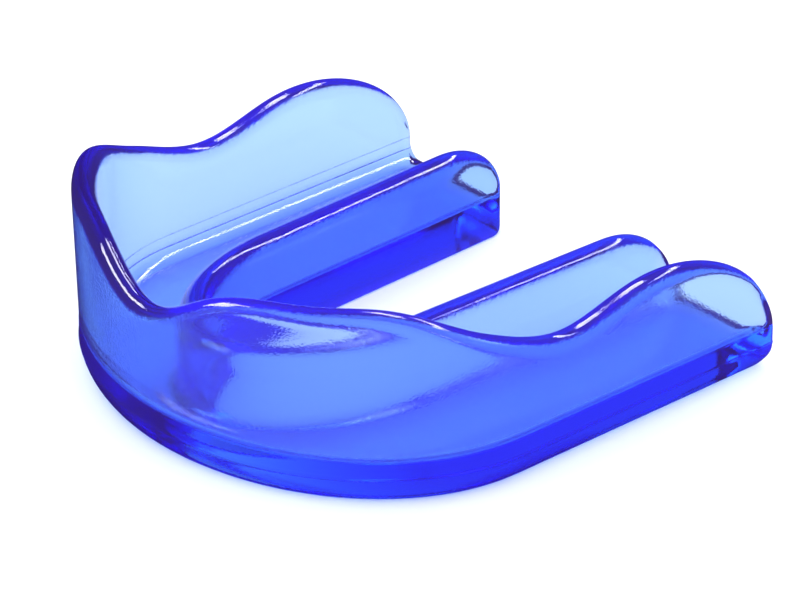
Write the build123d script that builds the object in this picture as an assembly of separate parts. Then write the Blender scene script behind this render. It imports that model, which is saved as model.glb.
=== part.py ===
from build123d import *
import math
import os

# A one-size mouth guard: a U-shaped tray that the upper teeth bite into.
# Millimetres. X runs across the mouth, +Y runs back to the molars, +Z points up to the gum.
# The origin is under the middle of the guard, on the flat that it stands on.

# Plan of the guard
WIDTH = 62.0
LENGTH = 63.0
FRONT_ROUND = 25.7      # depth of the half ellipse round the front teeth
PALATE_WIDTH = 21.8     # gap between the two arms, where they start
PALATE_REAR_WIDTH = 24.0
PALATE_SETBACK = 10.2   # from the front of the guard to the front of that gap
PALATE_ROUND = 17.6     # depth of the gap's own half ellipse

# Base, from the flat up
JOIN_HEIGHT = 5.3       # the line round the guard where the walls stand on the base
FLOOR_HEIGHT = 3.5      # the biting floor between the walls
BAND_BOTTOM = 3.2       # the upright band ends here and the side slopes in
SLOPE_INSET = 1.65
SOLE_EDGE_ROUND = 0.5

# Walls
LEDGE = 0.12            # the base stands proud of the outer wall
OUTER_THICK = 2.85
INNER_THICK = 3.45
INNER_TOP = 12.2
INNER_TOP_ROUND = 1.5
INNER_REAR_ROUND = 6.5
MOLAR_PEAK_FROM_REAR = 18.5
FRONT_LEAN = 0.05       # the outer wall leans out round the front, less towards the arms
LIP_FLARE = 1.4         # how far the rim's lip notch leans out past the base
LIP_FLARE_REACH = 0.2   # fraction of half of the U over which that lean dies away
STATIONS = 49           # upright sections along the outer wall

# Height of the outer wall's rim along half of the U: 0 is between the front teeth,
# 1 is the rear end. The notch clears the lip's frenum, the dip clears the cheek's.
RIM = [
    (0.00, 18.3),       # lip notch
    (0.12, 22.4),
    (0.24, 23.1),       # over the eye tooth
    (0.36, 22.9),
    (0.50, 18.3),
    (0.625, 15.2),      # cheek dip
    (0.77, 17.5),       # over the molars
    (1.00, 17.5),
]

REAR = (LENGTH + LIP_FLARE) / 2
FRONT = REAR - LENGTH


def u_face(inset):
    """The guard's outline filled in, moved inwards by inset, with a square rear."""
    half = WIDTH / 2 - inset
    arms_start = FRONT + FRONT_ROUND
    return tongue_face(half, half, FRONT_ROUND - inset, arms_start, REAR)


def palate_face(outset, rear=REAR + 1):
    """The gap between the arms filled in, grown by outset."""
    half = PALATE_WIDTH / 2 + outset
    arms_start = FRONT + PALATE_SETBACK + PALATE_ROUND
    widening = (PALATE_REAR_WIDTH - PALATE_WIDTH) / 2 * (rear - arms_start) / (REAR - arms_start)
    return tongue_face(half, half + widening, PALATE_ROUND + outset, arms_start, rear)


def tongue_face(half, rear_half, round_depth, arms_start, rear):
    """A half ellipse with straight sides behind it."""
    with BuildSketch() as sketch:
        with BuildLine():
            EllipticalCenterArc((0, arms_start), half, round_depth, start_angle=180, arc_size=180)
            Polyline((half, arms_start), (rear_half, rear), (-rear_half, rear), (-half, arms_start))
        make_face()
    return sketch.sketch


def between(outer, inner, low, high):
    """Extrude the strip between two faces from low to high."""
    return Pos(0, 0, low) * extrude(outer - inner, high - low)


def bite_base():
    """The floor that the teeth bite on, with a low lip under each wall."""
    band = extrude(Pos(0, 0, BAND_BOTTOM) * u_face(0), JOIN_HEIGHT - BAND_BOTTOM)
    slope_angle = math.degrees(math.atan(SLOPE_INSET / BAND_BOTTOM))
    slope = extrude(Pos(0, 0, BAND_BOTTOM) * u_face(0), -BAND_BOTTOM, taper=slope_angle)
    gap = Pos(0, 0, -1) * extrude(palate_face(0), JOIN_HEIGHT + 2)
    solid = band + slope - gap
    channel = between(u_face(LEDGE + OUTER_THICK), palate_face(INNER_THICK), FLOOR_HEIGHT, JOIN_HEIGHT + 1)
    solid = solid - channel
    sole_edges = solid.edges().filter_by_position(Axis.Z, -0.01, 0.01)
    return fillet(sole_edges, SOLE_EDGE_ROUND)


def rim_slope(number):
    """Slope of the rim at one of RIM's points: level at both ends of the half."""
    if number in (0, len(RIM) - 1):
        return 0.0
    before, after = RIM[number - 1], RIM[number + 1]
    return (after[1] - before[1]) / (after[0] - before[0])


def rim_height(along):
    """Height of the rim at a fraction along half of the U, a smooth cubic through RIM's points."""
    number = max(i for i in range(len(RIM) - 1) if RIM[i][0] <= along)
    start, low = RIM[number]
    end, high = RIM[number + 1]
    span = end - start
    t = (along - start) / span
    rise = (3 * t**2 - 2 * t**3) * (high - low)
    bend_in = (t**3 - 2 * t**2 + t) * span * rim_slope(number)
    bend_out = (t**3 - t**2) * span * rim_slope(number + 1)
    return low + rise + bend_in + bend_out


def lean_at(along):
    """Sideways lean of the outer wall for each millimetre of height above the join."""
    lean = FRONT_LEAN * max(math.cos(math.pi * along), 0.0)
    if along < LIP_FLARE_REACH:
        full = (LIP_FLARE + LEDGE) / (RIM[0][1] - OUTER_THICK / 2 - JOIN_HEIGHT)
        lean += (full - FRONT_LEAN) * (1 + math.cos(math.pi * along / LIP_FLARE_REACH)) / 2
    return lean


def wall_path():
    """The outer wall's foot, from the rear of the left arm round to the rear of the right arm."""
    half = WIDTH / 2 - LEDGE
    arms_start = FRONT + FRONT_ROUND
    left = Line((-half, REAR), (-half, arms_start))
    front = EllipticalCenterArc((0, arms_start), half, FRONT_ROUND - LEDGE, start_angle=180, arc_size=180)
    right = Line((half, arms_start), (half, REAR))
    return Wire([left.edge(), front.edge(), right.edge()])


def wall_section(point, tangent, height, lean):
    """One upright section of the outer wall, square at the join and fully round at the rim."""
    inward = Vector(0, 0, 1).cross(tangent)
    upright = Plane(origin=point, x_dir=inward, z_dir=tangent)
    radius = OUTER_THICK / 2
    shoulder = height - radius
    outer = -lean * (shoulder - JOIN_HEIGHT)
    inner = outer + OUTER_THICK
    with BuildSketch(upright) as sketch:
        with BuildLine():
            Polyline((outer, shoulder), (0, JOIN_HEIGHT), (OUTER_THICK, JOIN_HEIGHT), (inner, shoulder))
            ThreePointArc((inner, shoulder), (outer + radius, height), (outer, shoulder))
        make_face()
    return sketch.sketch.face()


def outer_flange():
    """The tall wall on the lip and cheek side, with its waved rim."""
    path = wall_path()
    sections = []
    for station in range(STATIONS):
        along = station / (STATIONS - 1)
        from_front = abs(2 * along - 1)
        height = rim_height(from_front)
        lean = lean_at(from_front)
        sections.append(wall_section(path @ along, path % along, height, lean))
    wall = loft(sections)
    return wall - outer_rear_waste()


def outer_rear_waste():
    """What lies behind the quarter ellipse that ends the outer wall at the molars."""
    peak_y = REAR - MOLAR_PEAK_FROM_REAR
    rise = RIM[-1][1] - JOIN_HEIGHT
    with BuildSketch(Plane.YZ) as sketch:
        with BuildLine():
            EllipticalCenterArc((peak_y, JOIN_HEIGHT), MOLAR_PEAK_FROM_REAR, rise, start_angle=0, arc_size=90)
            top = JOIN_HEIGHT + rise
            Polyline((peak_y, top), (peak_y, top + 5), (REAR + 5, top + 5), (REAR + 5, JOIN_HEIGHT),
                     (REAR, JOIN_HEIGHT))
        make_face()
    return extrude(sketch.sketch, WIDTH, both=True)


def inner_flange():
    """The low wall on the tongue side, level along its top and round at both rear ends."""
    strip = between(palate_face(INNER_THICK, REAR), palate_face(0), JOIN_HEIGHT, INNER_TOP)
    rear_tops = strip.edges().filter_by(Axis.X).group_by(Axis.Y)[-1].group_by(Axis.Z)[-1]
    strip = fillet(rear_tops, INNER_REAR_ROUND)
    top_edges = strip.edges().filter_by_position(Axis.Z, INNER_TOP - 0.01, INNER_TOP + 0.01)
    long_edges = top_edges.filter_by(Axis.X, reverse=True)
    return fillet(long_edges, INNER_TOP_ROUND)


os.makedirs("parts", exist_ok=True)
export_step(bite_base(), "parts/bite_base.step")
export_step(outer_flange(), "parts/outer_flange.step")
export_step(inner_flange(), "parts/inner_flange.step")
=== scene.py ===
import bpy, bmesh, math
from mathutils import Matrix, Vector


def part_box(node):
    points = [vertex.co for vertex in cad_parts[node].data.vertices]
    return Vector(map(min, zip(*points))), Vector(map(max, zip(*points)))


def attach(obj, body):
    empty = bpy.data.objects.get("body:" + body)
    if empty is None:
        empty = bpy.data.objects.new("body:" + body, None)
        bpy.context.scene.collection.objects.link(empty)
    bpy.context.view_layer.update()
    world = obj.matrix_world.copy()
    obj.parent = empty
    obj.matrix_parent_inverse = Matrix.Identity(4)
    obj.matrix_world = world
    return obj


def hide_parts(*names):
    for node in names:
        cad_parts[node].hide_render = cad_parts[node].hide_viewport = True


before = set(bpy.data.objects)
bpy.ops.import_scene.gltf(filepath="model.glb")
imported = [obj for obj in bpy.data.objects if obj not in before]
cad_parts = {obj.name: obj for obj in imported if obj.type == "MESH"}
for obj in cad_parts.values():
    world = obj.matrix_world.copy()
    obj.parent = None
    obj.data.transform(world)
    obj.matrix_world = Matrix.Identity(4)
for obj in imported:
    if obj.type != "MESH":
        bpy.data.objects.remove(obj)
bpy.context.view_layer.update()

MM = 0.001

# Outline of the horseshoe, seen from above
base_low, base_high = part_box("bite_base")
inner_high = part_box("inner_flange")[1]
HALF_WIDTH = (base_high.x - base_low.x) / 2
FRONT = base_low.y
REAR = base_high.y
FRONT_ROUND = 25.7 * MM
PALATE_HALF = 10.9 * MM
PALATE_REAR_HALF = 12.0 * MM
PALATE_FRONT = FRONT + 10.2 * MM
PALATE_ROUND = 17.6 * MM

# Heights
JOIN = base_high.z
FLOOR = 3.5 * MM
BAND_BOTTOM = 3.2 * MM
INNER_TOP = inner_high.z

# The outer wall's rim: share of the way from the front teeth to the rear, and height
RIM = [
    (0.00, 18.3), (0.12, 22.4), (0.24, 23.1), (0.36, 22.9),
    (0.50, 18.3), (0.625, 15.2), (0.77, 17.5), (1.00, 17.5),
]
# Both walls come down to a foot over a run at the rear
MOLAR_RUN = 18.5 * MM
MOLAR_FOOT = JOIN + 0.1 * MM
INNER_REAR_RUN = 9.0 * MM
INNER_REAR_FOOT = FLOOR + 0.9 * MM

# Walls, and the rounds along them
LEDGE = 0.12 * MM           # the base stands proud of the outer wall
RIM_TALL = 1.4              # a rim's rise over half its wall's thickness
BEAD = 0.07 * MM            # the bead stands proud of the band above it
OUTER_THICK = 2.85 * MM
INNER_THICK = 3.45 * MM
FRONT_LEAN = 0.05           # outward for each unit of height, round the front
LIP_FLARE = 1.4 * MM        # how far the lip notch leans out past the base
LIP_FLARE_REACH = 0.2       # share of the way to the rear where that has died away
OUTER_FILLET = 2.2 * MM
INNER_FILLET = 1.2 * MM
SLOPE_INSET = 1.65 * MM
SLOPE_BULGE = 0.3 * MM      # the slope's crown
SLOPE_OUT, SLOPE_DOWN = 0.89, 0.46    # the way that the slope faces
SOLE_OUTER_ROUND = 0.35 * MM
SOLE_INNER_ROUND = 0.3 * MM
OUTER_REAR_ROUND = 0.4 * MM
PALATE_REAR_ROUND = 2.5 * MM
CHANNEL_REAR_ROUND = 1.4 * MM
FLOOR_REAR_ROUND = 0.3 * MM
SOLE_REAR_ROUND = 1.6 * MM
REAR_ROUNDS = (OUTER_REAR_ROUND, PALATE_REAR_ROUND, CHANNEL_REAR_ROUND, SOLE_REAR_ROUND)

# Spacing of the skin's rows of points
FRONT_STATIONS = 24
ARM_STATIONS = 26
END_TURNS = [0, 15, 30, 45, 60, 72, 82, 90]


def rim_slope(number):
    """How steeply the rim runs through a point of RIM, in millimetres for the whole way."""
    if number in (0, len(RIM) - 1):
        return 0.0
    before, after = RIM[number - 1], RIM[number + 1]
    return (after[1] - before[1]) / (after[0] - before[0])


def rim_height(along):
    """Height of the outer wall: a smooth curve through the points of RIM."""
    number = max(i for i in range(len(RIM) - 1) if RIM[i][0] <= along)
    start, low = RIM[number]
    end, high = RIM[number + 1]
    span = end - start
    t = (along - start) / span
    rise = (3 * t**2 - 2 * t**3) * (high - low)
    bend_in = (t**3 - 2 * t**2 + t) * span * rim_slope(number)
    bend_out = (t**3 - t**2) * span * rim_slope(number + 1)
    return (low + rise + bend_in + bend_out) * MM


def rear_drop(high, low, y, run):
    """A wall that comes down in a quarter round over the last stretch before the rear."""
    used = min(max((y - (REAR - run)) / run, 0.0), 1.0)
    return low + (high - low) * math.sqrt(1 - used**2)


def lean_at(along):
    """How far the outer wall leans out for each unit of height: most at the lip notch."""
    lean = FRONT_LEAN * max(math.cos(math.pi * along), 0.0)
    if along < LIP_FLARE_REACH:
        full = (LIP_FLARE + LEDGE) / (RIM[0][1] * MM - OUTER_THICK / 2 - JOIN) - FRONT_LEAN
        lean += full * (1 + math.cos(math.pi * along / LIP_FLARE_REACH)) / 2
    return lean


def rear_draw(y, radius):
    """How far a face is drawn in by the round of its rear edge."""
    past = max(y - (REAR - radius), 0.0)
    return radius - math.sqrt(max(radius**2 - past**2, 0.0))


def half_outline():
    """Stations from the front to one rear end. Each has a point of the outer outline and
    its normal into the guard, and the same for the outline of the palate gap, which
    widens a little towards the rear."""
    stations = []
    arm_start = FRONT + FRONT_ROUND
    gap_start = PALATE_FRONT + PALATE_ROUND
    for i in range(FRONT_STATIONS):
        turn = math.radians(90 * i / FRONT_STATIONS)
        s, c = math.sin(turn), math.cos(turn)
        outer = Vector((HALF_WIDTH * s, arm_start - FRONT_ROUND * c))
        inward = -Vector((s / HALF_WIDTH, -c / FRONT_ROUND)).normalized()
        gap = Vector((PALATE_HALF * s, gap_start - PALATE_ROUND * c))
        away = Vector((s / PALATE_HALF, -c / PALATE_ROUND)).normalized()
        stations.append((outer, inward, gap, away))
    last = REAR - PALATE_REAR_ROUND
    shares = [math.sin(math.radians(90 * i / ARM_STATIONS)) for i in range(ARM_STATIONS)]
    rear = [last + PALATE_REAR_ROUND * math.sin(math.radians(turn)) for turn in END_TURNS]
    outer_ys = [arm_start + (last - arm_start) * t for t in shares] + rear
    gap_ys = [gap_start + (last - gap_start) * t for t in shares] + rear
    for outer_y, gap_y in zip(outer_ys, gap_ys):
        widened = (PALATE_REAR_HALF - PALATE_HALF) * (gap_y - gap_start) / (REAR - gap_start)
        outer = Vector((HALF_WIDTH, outer_y))
        gap = Vector((PALATE_HALF + widened, gap_y))
        stations.append((outer, Vector((-1, 0)), gap, Vector((1, 0))))
    return stations


def arc(x, z, across, up, start, end, count):
    """Points on a round, from one angle to another in degrees."""
    turns = [math.radians(start + (end - start) * i / (count - 1)) for i in range(count)]
    return [(x + across * math.cos(a), z + up * math.sin(a)) for a in turns]


def line(a, b, shares):
    """Points on a straight line, at shares of the way from a to b."""
    return [(a[0] + (b[0] - a[0]) * t, a[1] + (b[1] - a[1]) * t) for t in shares]


def side(number, points):
    """Marks the points with the outline that they are measured from."""
    return [(number, x, z) for x, z in points]


def section(top, inner_top, outer_draw, palate_draw, channel_draw, sole):
    """One upright cut through the guard, as two matched rows of points from the outer
    rim's crown to the inner rim's crown: one down the outside and under the sole, the other
    through the channel. Each point has a side, a distance and a height. On side 0 the
    distance is from the outer outline, and on side 1 from the palate gap."""
    # The outer wall's two faces and its rounded rim
    face = LEDGE + outer_draw
    channel = LEDGE + OUTER_THICK - channel_draw
    half = (channel - face) / 2
    middle = (channel + face) / 2
    floor = FLOOR - min(channel_draw, FLOOR_REAR_ROUND)
    rim = min(RIM_TALL * half, (top - floor) * 0.45)
    shoulder = top - rim
    join = min(JOIN, shoulder - 0.12 * MM)

    outside = side(0, arc(middle, shoulder, half, rim, 90, 180, 8))
    shares = (0.06, 0.2, 0.4, 0.6, 0.8, 0.94, 1)
    outside += side(0, line((face, shoulder), (face, join + 0.1 * MM), shares))

    # The ledge, the band with the fine bead under it, and the crowned slope to the sole
    edge = 0.05 * MM
    band = outer_draw + BEAD
    outside += side(0, [(face - edge / 4, join + edge / 2), (face - edge / 2, join)])
    outside += side(0, [(band + edge, join), (band, join - edge), (band, join - 3 * edge)])
    outside += side(0, line((band, join), (band, BAND_BOTTOM), (0.5, 0.85, 0.93)))
    outside += side(0, [(outer_draw, BAND_BOTTOM + BEAD / 2), (outer_draw, BAND_BOTTOM - BEAD)])
    bottom = (band, BAND_BOTTOM - 2 * BEAD)
    foot = (outer_draw + SLOPE_INSET * (BAND_BOTTOM - sole) / BAND_BOTTOM, sole)
    run = math.hypot(foot[0] - bottom[0], foot[1] - bottom[1])
    for share in (0, 0.12, 0.35, 0.6, 0.85):
        x, z = line(bottom, foot, (share,))[0]
        bulge = SLOPE_BULGE * 4 * share * (1 - share)
        outside += side(0, [(x - bulge * SLOPE_OUT, z - bulge * SLOPE_DOWN)])
    k = min(SOLE_OUTER_ROUND, run * 0.15)
    outside += side(0, [(foot[0] - 0.1 * k, sole + 0.15 * k), (foot[0] + k, sole)])
    outside += side(0, [(foot[0] + 2 * MM, sole)])

    # The sole's edge along the palate gap and the inner wall's face
    gap = palate_draw
    inner = INNER_THICK - channel_draw
    inner_half = (inner - gap) / 2
    inner_middle = (inner + gap) / 2
    inner_rim = min(RIM_TALL * inner_half, (inner_top - floor) * 0.7)
    inner_shoulder = inner_top - inner_rim
    q = min(SOLE_INNER_ROUND, (inner_shoulder - sole) * 0.4)
    outside += side(1, [(gap + 2.5 * MM, sole), (gap + 2 * q, sole)])
    outside += side(1, arc(gap + q, sole + q, q, q, 270, 180, 5))
    outside += side(1, line((gap, sole + q), (gap, inner_shoulder), (0.06, 0.3, 0.6, 0.94)))
    outside += side(1, arc(inner_middle, inner_shoulder, inner_half, inner_rim, 180, 90, 8))

    # Back through the channel
    inside = side(0, arc(middle, shoulder, half, rim, 90, 0, 8))
    fillet = min(OUTER_FILLET, (shoulder - floor) * 0.85)
    shares = (0.05, 0.15, 0.27, 0.39, 0.51, 0.63, 0.75, 0.86, 0.95)
    inside += side(0, line((channel, shoulder), (channel, floor + fillet), shares))
    inside += side(0, arc(channel + fillet, floor + fillet, fillet, fillet, 180, 270, 12))
    inside += side(0, line((channel + fillet, floor), (channel + fillet + 1 * MM, floor), (0.2, 0.6, 1)))
    small = min(INNER_FILLET, (inner_shoulder - floor) * 0.85)
    inside += side(1, line((inner + small + 1 * MM, floor), (inner + small, floor), (0, 0.8)))
    inside += side(1, arc(inner + small, floor + small, small, small, 270, 180, 6))
    shares = (0.06, 0.3, 0.5, 0.75, 0.94)
    inside += side(1, line((inner, floor + small), (inner, inner_shoulder), shares))
    inside += side(1, arc(inner_middle, inner_shoulder, inner_half, inner_rim, 0, 90, 8))
    return outside, inside


def rings():
    """All sections, from the left rear end round the front to the right rear end."""
    half = half_outline()
    lengths = [0.0]
    for before, after in zip(half, half[1:]):
        lengths.append(lengths[-1] + (after[0] - before[0]).length)
    right = []
    for (outer, inward, gap, away), length in zip(half, lengths):
        along = length / lengths[-1]
        top = rear_drop(rim_height(min(along, 0.999)), MOLAR_FOOT, outer.y, MOLAR_RUN)
        inner_top = rear_drop(INNER_TOP, INNER_REAR_FOOT, gap.y, INNER_REAR_RUN)
        lean = lean_at(along)
        draws = [rear_draw(outer.y, r) for r in REAR_ROUNDS]
        outside, inside = section(top, inner_top, *draws)
        ring = []
        for which, distance, z in outside + inside[-2:0:-1]:
            if which == 0:
                flat = outer + inward * (distance - lean * max(z - JOIN, 0.0))
            else:
                flat = gap + away * distance
            ring.append(Vector((flat.x, flat.y, z)))
        right.append(ring)
    left = [[Vector((-p.x, p.y, p.z)) for p in ring] for ring in right[:0:-1]]
    return left + right, len(outside)


def guard():
    """The moulding's skin. It starts as a flat grid, which is wrapped round the sections,
    joined along its seam and closed at the two rear ends."""
    sections, path = rings()
    across = len(sections[0])
    bpy.ops.object.select_all(action="DESELECT")
    bpy.ops.mesh.primitive_grid_add(x_subdivisions=len(sections) - 1, y_subdivisions=across, size=1)
    piece = bpy.context.active_object
    piece.name = "guard_moulding"
    for vertex in piece.data.vertices:
        ring = round((vertex.co.x + 0.5) * (len(sections) - 1))
        point = round((vertex.co.y + 0.5) * across) % across
        vertex.co = sections[ring][point]
    bpy.ops.object.mode_set(mode="EDIT")
    bpy.ops.mesh.select_all(action="SELECT")
    bpy.ops.mesh.remove_doubles(threshold=0.000001)
    close_rear_end(piece, sections[0], path)
    close_rear_end(piece, sections[-1], path)
    bpy.ops.mesh.select_all(action="SELECT")
    bpy.ops.mesh.normals_make_consistent(inside=False)
    bpy.ops.object.mode_set(mode="OBJECT")
    smooth = piece.modifiers.new("smooth", "SUBSURF")
    smooth.levels = 1
    smooth.render_levels = 1
    bpy.ops.object.modifier_apply(modifier=smooth.name)
    bpy.ops.object.shade_smooth()
    return piece


def close_rear_end(piece, ring, path):
    """Lays a ladder of faces between the outside and the channel side of an end section."""
    skin = bmesh.from_edit_mesh(piece.data)
    edge = [v for v in skin.verts if v.is_boundary]
    found = [min(edge, key=lambda v: (v.co - p).length) for p in ring]
    outside = found[:path]
    inside = [found[0]] + found[:path - 2:-1]
    for i in range(path - 1):
        bpy.ops.mesh.select_all(action="DESELECT")
        for vertex in {outside[i], outside[i + 1], inside[i], inside[i + 1]}:
            vertex.select = True
        skin.select_flush(True)
        bpy.ops.mesh.edge_face_add()


def clear_blue():
    """Clear EVA, blue right through, with a faint waviness from the mould. The faint violet
    emission is a painted glow, standing in for the light that bounces about inside the plastic."""
    mat = bpy.data.materials.new("clear_blue_eva")
    mat.use_nodes = True
    nodes, links = mat.node_tree.nodes, mat.node_tree.links
    shader = nodes["Principled BSDF"]
    shader.inputs["Base Color"].default_value = (1, 1, 1, 1)
    shader.inputs["Roughness"].default_value = 0.02
    shader.inputs["IOR"].default_value = 1.49
    shader.inputs["Transmission Weight"].default_value = 1.0
    shader.inputs["Specular IOR Level"].default_value = 0.35
    # Painted glow: a faint violet emission, standing in for light bounced about inside the plastic
    shader.inputs["Emission Color"].default_value = (0.9, 0.4, 1, 1)
    shader.inputs["Emission Strength"].default_value = 0.034
    place = nodes.new("ShaderNodeTexCoord")
    ripple = nodes.new("ShaderNodeTexNoise")
    ripple.inputs["Scale"].default_value = 4000
    ripple.inputs["Detail"].default_value = 2
    links.new(place.outputs["Object"], ripple.inputs["Vector"])
    waves = nodes.new("ShaderNodeTexNoise")
    waves.inputs["Scale"].default_value = 220
    waves.inputs["Detail"].default_value = 1
    links.new(place.outputs["Object"], waves.inputs["Vector"])
    fine = nodes.new("ShaderNodeBump")
    fine.inputs["Strength"].default_value = 0.1
    fine.inputs["Distance"].default_value = 0.0001
    links.new(ripple.outputs["Fac"], fine.inputs["Height"])
    broad = nodes.new("ShaderNodeBump")
    broad.inputs["Strength"].default_value = 0.1
    broad.inputs["Distance"].default_value = 0.0001
    links.new(waves.outputs["Fac"], broad.inputs["Height"])
    links.new(fine.outputs["Normal"], broad.inputs["Normal"])
    links.new(broad.outputs["Normal"], shader.inputs["Normal"])
    absorb = nodes.new("ShaderNodeVolumeAbsorption")
    absorb.inputs["Color"].default_value = (0.0, 0.45, 0.93, 1)
    absorb.inputs["Density"].default_value = 335
    links.new(absorb.outputs[0], nodes["Material Output"].inputs["Volume"])
    return mat


def floor():
    """A plain pale floor, just under the sole, which the guard's gloss doesn't pick up."""
    bpy.ops.object.select_all(action="DESELECT")
    bpy.ops.mesh.primitive_plane_add(size=6, location=(0, 0, -0.08 * MM))
    plane = bpy.context.active_object
    plane.name = "floor"
    mat = bpy.data.materials.new("pale_floor")
    mat.use_nodes = True
    shader = mat.node_tree.nodes["Principled BSDF"]
    shader.inputs["Base Color"].default_value = (0.95, 0.95, 0.95, 1)
    shader.inputs["Roughness"].default_value = 1.0
    shader.inputs["Specular IOR Level"].default_value = 0.0
    plane.data.materials.append(mat)
    plane.visible_glossy = False


def studio():
    """Even white light from all round, which the gloss doesn't pick up."""
    world = bpy.data.worlds.new("studio")
    bpy.context.scene.world = world
    world.use_nodes = True
    world.node_tree.nodes["Background"].inputs["Color"].default_value = (1, 1, 1, 1)
    world.node_tree.nodes["Background"].inputs["Strength"].default_value = 1.6
    world.cycles_visibility.glossy = False


def strip_light(name, place, size, brightness):
    """A soft strip that shows in the gloss and leaves the floor even."""
    bpy.ops.object.light_add(type="AREA", location=place)
    lamp = bpy.context.active_object
    lamp.name = name
    lamp.data.shape = "RECTANGLE"
    lamp.data.size, lamp.data.size_y = size
    lamp.data.energy = brightness * math.pi * size[0] * size[1]
    lamp.rotation_mode = "QUATERNION"
    lamp.rotation_quaternion = (-Vector(place)).to_track_quat("-Z", "Y")
    lamp.visible_diffuse = False


def camera():
    """A long lens, from the right of the front and above."""
    data = bpy.data.cameras.new("camera")
    cam = bpy.data.objects.new("camera", data)
    bpy.context.scene.collection.objects.link(cam)
    az, el, dist = math.radians(48.14), math.radians(28.61), 0.7031
    back = Vector((math.sin(az) * math.cos(el), -math.cos(az) * math.cos(el), math.sin(el)))
    right = Vector((math.cos(az), math.sin(az), 0))
    up = back.cross(right)
    target = Vector((0, FRONT + 22 * MM, 6 * MM)) + right * 10.06 * MM + up * 4.17 * MM
    cam.location = target + back * dist
    cam.rotation_mode = "QUATERNION"
    cam.rotation_quaternion = (-back).to_track_quat("-Z", "Y")
    data.lens = 290.02
    data.sensor_width = 36
    data.clip_start, data.clip_end = 0.01, 20
    bpy.context.scene.camera = cam


piece = guard()
piece.data.materials.append(clear_blue())
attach(piece, "root")
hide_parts("bite_base", "outer_flange", "inner_flange")
floor()
studio()
strip_light("overhead_light", (0, 0.29, 0.74), (0.45, 0.2), 18)
strip_light("back_light", (0.15, 0.55, 0.53), (0.65, 0.06), 20)
strip_light("front_left_light", (-0.32, -0.5, 0.48), (0.4, 0.28), 18)
camera()
scene = bpy.context.scene
scene.view_settings.view_transform = "Standard"
scene.cycles.max_bounces = 32
scene.cycles.transmission_bounces = 32
scene.cycles.glossy_bounces = 8
